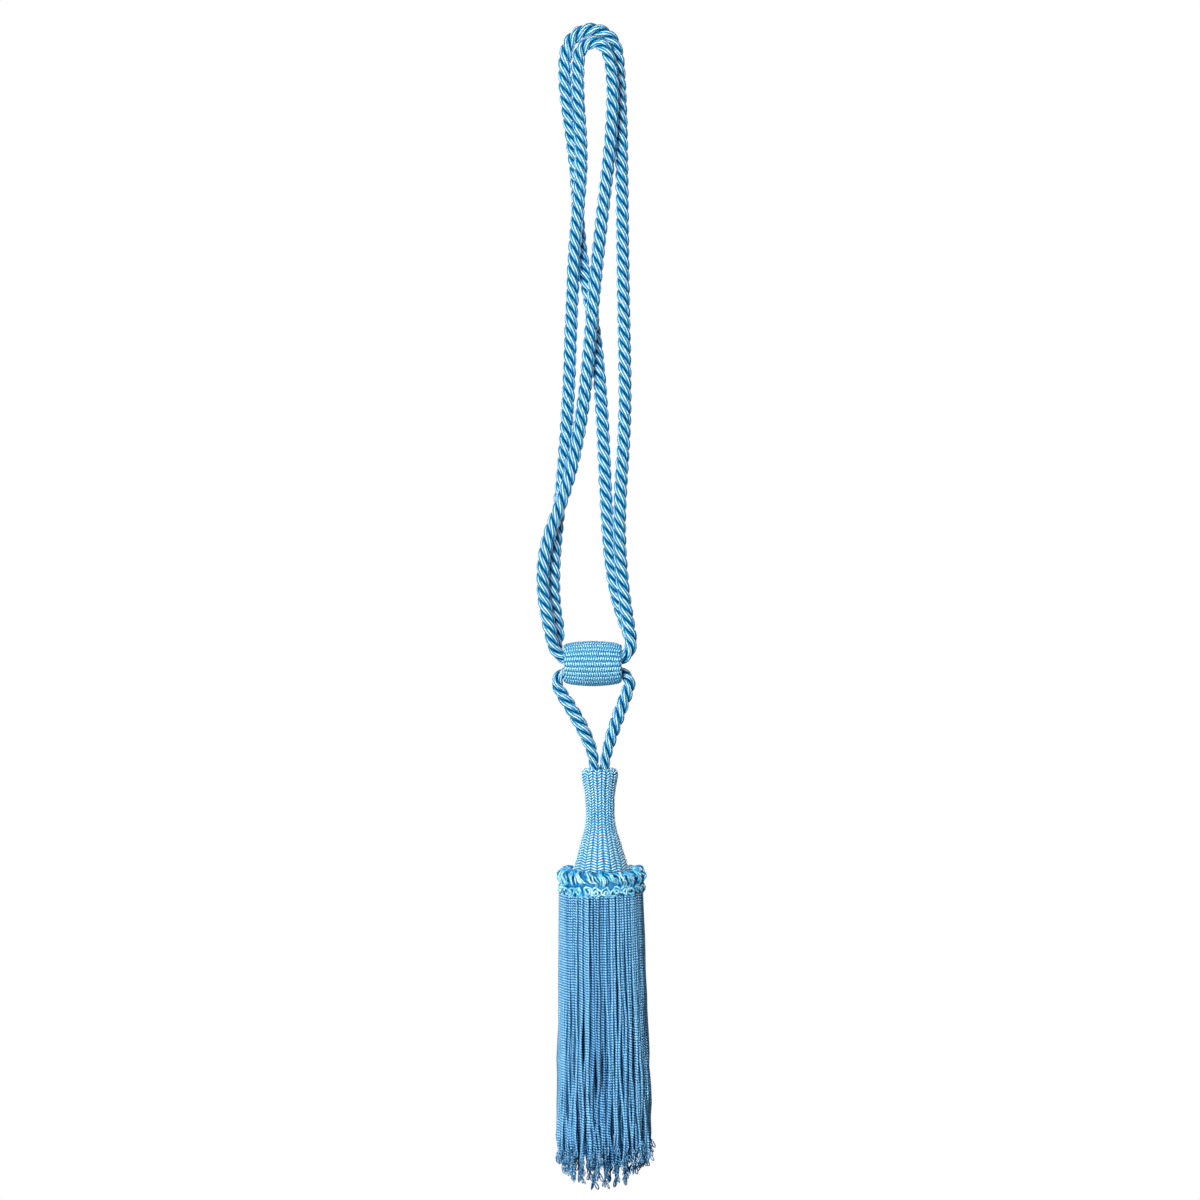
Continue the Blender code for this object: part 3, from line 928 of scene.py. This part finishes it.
loopLook = {
    "name": "loopedThread",
    "dark": (0.0, 0.13, 0.44), "light": (0.02, 0.50, 0.86), "bright": (0.72, 1.0, 1.0),
    "strands": 10, "strandTurns": 200.0, "strandShade": 0.16, "strandBump": 0.5,
    "fibreScale": 2.0, "fibreDetail": 3.0, "fibreGirth": 1.4, "fibreDrift": 200.0, "fibreShade": 0.5,
    "patchScale": 160.0, "patchShade": 0.5, "flankShade": 0.15,
    "roughness": 0.38, "roughnessDrift": 0.10, "bump": 0.10, "bumpDepth": 0.1 * mm,
    "specular": 0.2, "metallic": 0.1, "gloss": 0.4, "glossIndex": 2.0, "glossRoughness": 0.2,
}


def curled(board, given, place, noisePlace):
    curl = noiseAt(board, noisePlace, given["curlScale"], detail=0.0, out="Color")
    return place + (curl - middleColour) * given["curl"]


def coiledThread(board, given, curve, material):  # painted shade where it faces into its coil, lighter where it faces out
    tube = sweep(board, curve, given["threadRadius"], given["sides"])
    facing = clamp(dot(board, board.add("GeometryNodeInputNormal"), vectorFact(board, "outward")))
    light = loopLook["flankShade"] + (1.0 - loopLook["flankShade"]) * facing
    return endTree(board, keep(board, tube, "crest", fact(board, "crest") * light), material)


def ruffTree(material):
    board, given = newTree("ruffLoops", ruff, "loops", "threads", "threadRadius", "threadGap", "radius",
                           "depth", "reachOut", "reachUp", "slant", "bow", "bulge", "curl", "curlScale",
                           "curlShift", "sides", "steps", "shade", "endShade", "sideShade")
    rings = copiesOf(board, circle(board, given["steps"], "ring"), given["loops"] * given["threads"])
    number = fact(board, "number")
    loop = ((number + 0.5) / given["threads"]).maths("FLOOR")
    middle = (given["threads"] - 1.0) / 2.0
    thread = number - loop * given["threads"] - middle
    out, up, unused = separate(board, vectorFact(board, "ring"))
    bulge = given["bulge"] * (1.0 - (thread / middle) ** 2.0)
    radius = given["radius"] + out * (given["reachOut"] + bulge + stray(board, number, ruff["outStray"]))
    rise = up * (given["reachUp"] + bulge) * (1.0 + stray(board, loop, ruff["upStray"]))
    depth = given["depth"] - rise + stray(board, loop, ruff["depthStray"])
    slant = given["slant"] + stray(board, loop, ruff["loopSlantStray"])
    slant = slant + stray(board, number, ruff["threadSlantStray"])
    aside = thread * given["threadGap"] - up * given["reachUp"] * slant + out * given["bow"]
    aside = aside + stray(board, loop, ruff["asideStray"])
    angle = loop * fullTurn / given["loops"] + aside / given["radius"] - math.pi / 2
    place = onCircle(board, radius, angle, -depth)
    noisePlace = place + combine(board, 0.0, 0.0, number * given["curlShift"])
    moved = setPlace(board, rings, curled(board, given, place, noisePlace))
    # painted shade at each loop's top and foot and on its outer threads; the strays are random tone
    shade = given["shade"] - given["endShade"] * up * up + stray(board, number, ruff["threadShadeStray"])
    shade = shade + stray(board, loop, ruff["loopShadeStray"]) - given["sideShade"] * absolute(thread)
    moved = keep(board, moved, "crest", clamp(shade))
    moved = keepVector(board, moved, "outward", onCircle(board, out, angle, up))
    return coiledThread(board, given, moved, material)


def rosetteTree(material):
    board, given = newTree("ruffRosettes", rosette, "loops", "threadRadius", "radius", "depth", "size",
                           "inner", "turns", "dome", "curl", "curlScale", "sides", "steps", "shade",
                           "tailShade")
    lines = copiesOf(board, straight(board, (1.0, 0.0, 0.0), given["steps"]), given["loops"])
    number = fact(board, "number")
    t = onSpline(board, "Factor")
    swirl = t * given["turns"] * fullTurn + stray(board, number, rosette["turnStray"])
    size = given["size"] * (given["inner"] + (1.0 - given["inner"]) * t)
    size = size * (1.0 + stray(board, number, rosette["sizeStray"]))
    aside = size * cosine(swirl)
    down = size * sine(swirl)
    radius = (given["radius"] + given["dome"] * (1.0 - t * t)
              + aside * stray(board, number, rosette["asideTiltStray"])
              + down * stray(board, number, rosette["downTiltStray"]))
    spot = number + 0.5 + stray(board, number, rosette["placeStray"])
    angle = spot * fullTurn / given["loops"] - math.pi / 2 + aside / given["radius"]
    depth = given["depth"] + down + stray(board, number, rosette["depthStray"])
    place = onCircle(board, radius, angle, -depth)
    moved = setPlace(board, lines, curled(board, given, place, place))
    shade = given["shade"] + stray(board, number, rosette["shadeStray"]) - t * given["tailShade"]
    moved = keep(board, moved, "crest", clamp(shade))
    moved = keepVector(board, moved, "outward", onCircle(board, 1.0, angle, 0.0))
    return coiledThread(board, given, moved, material)


def makeRuff():
    material = satinMaterial(loopLook)
    for name, tree in (("ruffLoops", ruffTree), ("ruffRosettes", rosetteTree)):
        seed = seedMesh(name + "Seed", [(0, 0, 0)])
        finishPiece(grow(name, tree(material), seed, tasselPlace), "ruff")
    addCore(turned("ruffCore", ruffCore, ring=True), tasselPlace, "ruff")


makeRuff()


skirt = {
    "top": 74.5 * mm,
    "cordRadius": 0.86 * mm,
    "sides": 5,
    "steps": 18,
    "taperPower": 40.0,  # a cord narrows only at its very end
    "taperDepth": 0.5,
    "sway": 4.6 * mm,
    "swayOut": 1.4,  # shares of the sway, out from the axis and round it
    "swayAside": 2.0,
    "swayDrift": 26.0,  # how fast a cord wanders on its way down
    "swayPerTone": 91.7,  # keeps the cords of a ring apart in the noise
    "swayPerRing": 1000.0,
    "earlySway": 0.4,  # what grows soon under the heading, beside what comes late
    "lateSwayPower": 3.0,
    "groups": 31.0,  # clumps round the skirt
    "gather": 0.85,
    "crowdGirth": 3.0,
    "crowdDrift": 9.0,
    "crowdPerRing": 90.0,
    "crowdTurn": 9.0,
    "groupsPerRing": 700.0,
    "seed": 11,
    "placeStray": 0.22,  # of a cord's place in its ring
    "ringStray": 0.3,  # mm
    "frontFall": 3.5,  # mm that the cords reach further down in front than at the side
    "leftFall": 1.5,  # mm, and on the left
    "innerRing": 13.0,  # mm, where the painted shade on the inner cords is deepest
    "toneSpan": 11.4,  # mm from there to the outermost ring
    "toneLeast": 0.35,
}
endLoop = {
    "count": 3,
    "root": 0.995,  # how far down a cord they start
    "length": 4.6 * mm,
    "width": 0.90 * mm,
    "waist": 0.62,  # half way down, as a share of the width at the foot
    "narrowing": 0.38,  # from the waist to the top, and from the foot to the waist
    "threadRadius": 0.31 * mm,
    "sides": 4,
    "steps": 9,
    "nod": (2, -0.5, 0.5),  # seed, least and most
    "roll": (3, -0.5, 0.5),
    "turn": (5, -3.1, 3.1),
    "growth": (6, 0.7, 1.35),
}
skirtRings = [  # mm: radius at the heading, number of cords, spread at the foot, least and greatest reach
    (24.4, 80, 3.2, 218.0, 231.0),
    (22.3, 70, 2.6, 222.0, 236.0),
    (19.6, 54, 1.4, 226.0, 240.0),
    (16.4, 40, -0.6, 228.0, 242.0),
]
cordFacts = ("angle", "ring", "flare", "fall", "tone")
fringeLook = {
    "name": "fringeCord",
    "dark": (0.0, 0.02, 0.09), "light": (0.0, 0.20, 0.54), "bright": (0.29, 0.68, 1.0),
    "starts": 1.0, "pitch": 1.55 * mm, "sharpness": 1.2,
    "shade": 0.42, "crestShade": 1.1, "patchShade": 0.8,
    "fibreScale": 2600.0, "fibreDetail": 3.0, "fibreShade": 0.3, "fibreBump": 0.3,
    "roughness": 0.38, "roughnessDrift": 0.1, "bump": 0.8, "bumpDepth": 0.4 * mm,
    "specular": 0.12, "metallic": 0.1,
    "gloss": 0.15, "glossPower": 2.0, "glossIndex": 1.8, "glossRoughness": 0.3,
}


def skirtSeed():
    lots = random.Random(skirt["seed"])
    rows = []
    for radius, count, spread, least, greatest in skirtRings:
        for i in range(count):
            angle = (i + lots.uniform(-skirt["placeStray"], skirt["placeStray"])) * fullTurn / count
            fall = lots.uniform(least, greatest) - skirt["frontFall"] * math.sin(angle)
            fall -= skirt["leftFall"] * math.cos(angle)
            # painted shade: the inner rings' cords darker, times a random tone
            depth = (radius - skirt["innerRing"]) / skirt["toneSpan"]
            tone = depth * lots.uniform(skirt["toneLeast"], 1.0)
            ring = radius + lots.uniform(-skirt["ringStray"], skirt["ringStray"])
            rows.append((angle, ring * mm, spread * mm, fall * mm - skirt["top"], tone))
    return seedMesh("skirtRoots", [(0, 0, 0)] * len(rows), **dict(zip(cordFacts, zip(*rows))))


def cordPlace(board, given, t):  # where a cord runs, at the share t of the way down
    angle, ring, flare, fall, tone = (fact(board, name) for name in cordFacts)
    drop = fall * t
    wander = combine(board, tone * skirt["swayPerTone"], drop * skirt["swayDrift"],
                     ring * skirt["swayPerRing"])
    swayAside, swayOut, unused = separate(board, noiseAt(board, wander, detail=1.0, out="Color"))
    crowdDrop = drop * skirt["crowdDrift"] + ring * skirt["crowdPerRing"]
    crowd = noiseAt(board, onCircle(board, skirt["crowdGirth"], angle, crowdDrop), detail=0.0)
    loose = t ** 0.5 * skirt["earlySway"] + t ** skirt["lateSwayPower"]
    radius = ring + flare * t + centred(swayOut) * given["sway"] * skirt["swayOut"] * loose
    group = angle * given["groups"] + crowd * skirt["crowdTurn"] + ring * skirt["groupsPerRing"]
    angle = angle - sine(group) * given["gather"] * loose / given["groups"]
    angle = angle + centred(swayAside) * given["sway"] * skirt["swayAside"] * loose / radius
    return onCircle(board, radius, angle, -(given["top"] + drop))


def skirtTree(material):
    board, given = newTree("fringeCords", skirt, "top", "cordRadius", "sides", "steps", "sway", "groups",
                           "gather", "taperPower", "taperDepth")
    roots = board.add("GeometryNodeMeshToPoints", None, {0: given["Geometry"]})
    copies = copiesAtRoots(board, straight(board, (0.0, 0.0, -1.0), given["steps"]), roots)
    lines = board.add("GeometryNodeRealizeInstances", None, {0: copies})
    t = onSpline(board, "Factor")
    moved = setPlace(board, lines, cordPlace(board, given, t))
    moved = keep(board, moved, "taper", 1.0 - t ** given["taperPower"] * given["taperDepth"])
    cords = sweep(board, moved, given["cordRadius"] * fact(board, "taper"), given["sides"])
    return endTree(board, cords, material)


def endLoopTree(material):  # the little loops in which each cord turns back on itself
    board, given = newTree("fringeLoops", {**skirt, **endLoop}, "top", "sway", "groups", "gather",
                           "count", "length", "width", "waist", "narrowing", "threadRadius", "sides",
                           "steps")
    x, y, z = separate(board, position(board))
    across = x * (given["waist"] - given["narrowing"] * y) * given["width"]
    ring = setPlace(board, circle(board, given["steps"], "ring"),
                    combine(board, across, 0.0, (y - 1.0) * given["length"] * 0.5))
    tube = sweep(board, ring, given["threadRadius"], given["sides"])
    roots = board.add("GeometryNodeMeshToPoints", None, {0: given["Geometry"]})
    roots = setPlace(board, roots, cordPlace(board, given, endLoop["root"]))
    roots = board.add("GeometryNodeDuplicateElements", {"domain": "POINT"},
                      {"Geometry": roots, "Amount": given["count"]})
    number = board.add("GeometryNodeInputIndex")
    nod, roll, turn, growth = (chance(board, number, *endLoop[name])
                               for name in ("nod", "roll", "turn", "growth"))
    swing = board.add("FunctionNodeEulerToRotation", None, {0: combine(board, nod, roll, turn)})
    copies = copiesAtRoots(board, tube, roots, Rotation=swing, Scale=combine(board, growth, 1.0, growth))
    return endTree(board, copies, material)


def makeSkirt():
    material = fringeMaterial(fringeLook)
    for name, tree in (("fringeCords", skirtTree), ("fringeLoops", endLoopTree)):
        finishPiece(grow(name, tree(material), skirtSeed(), tasselPlace), "skirt")


makeSkirt()
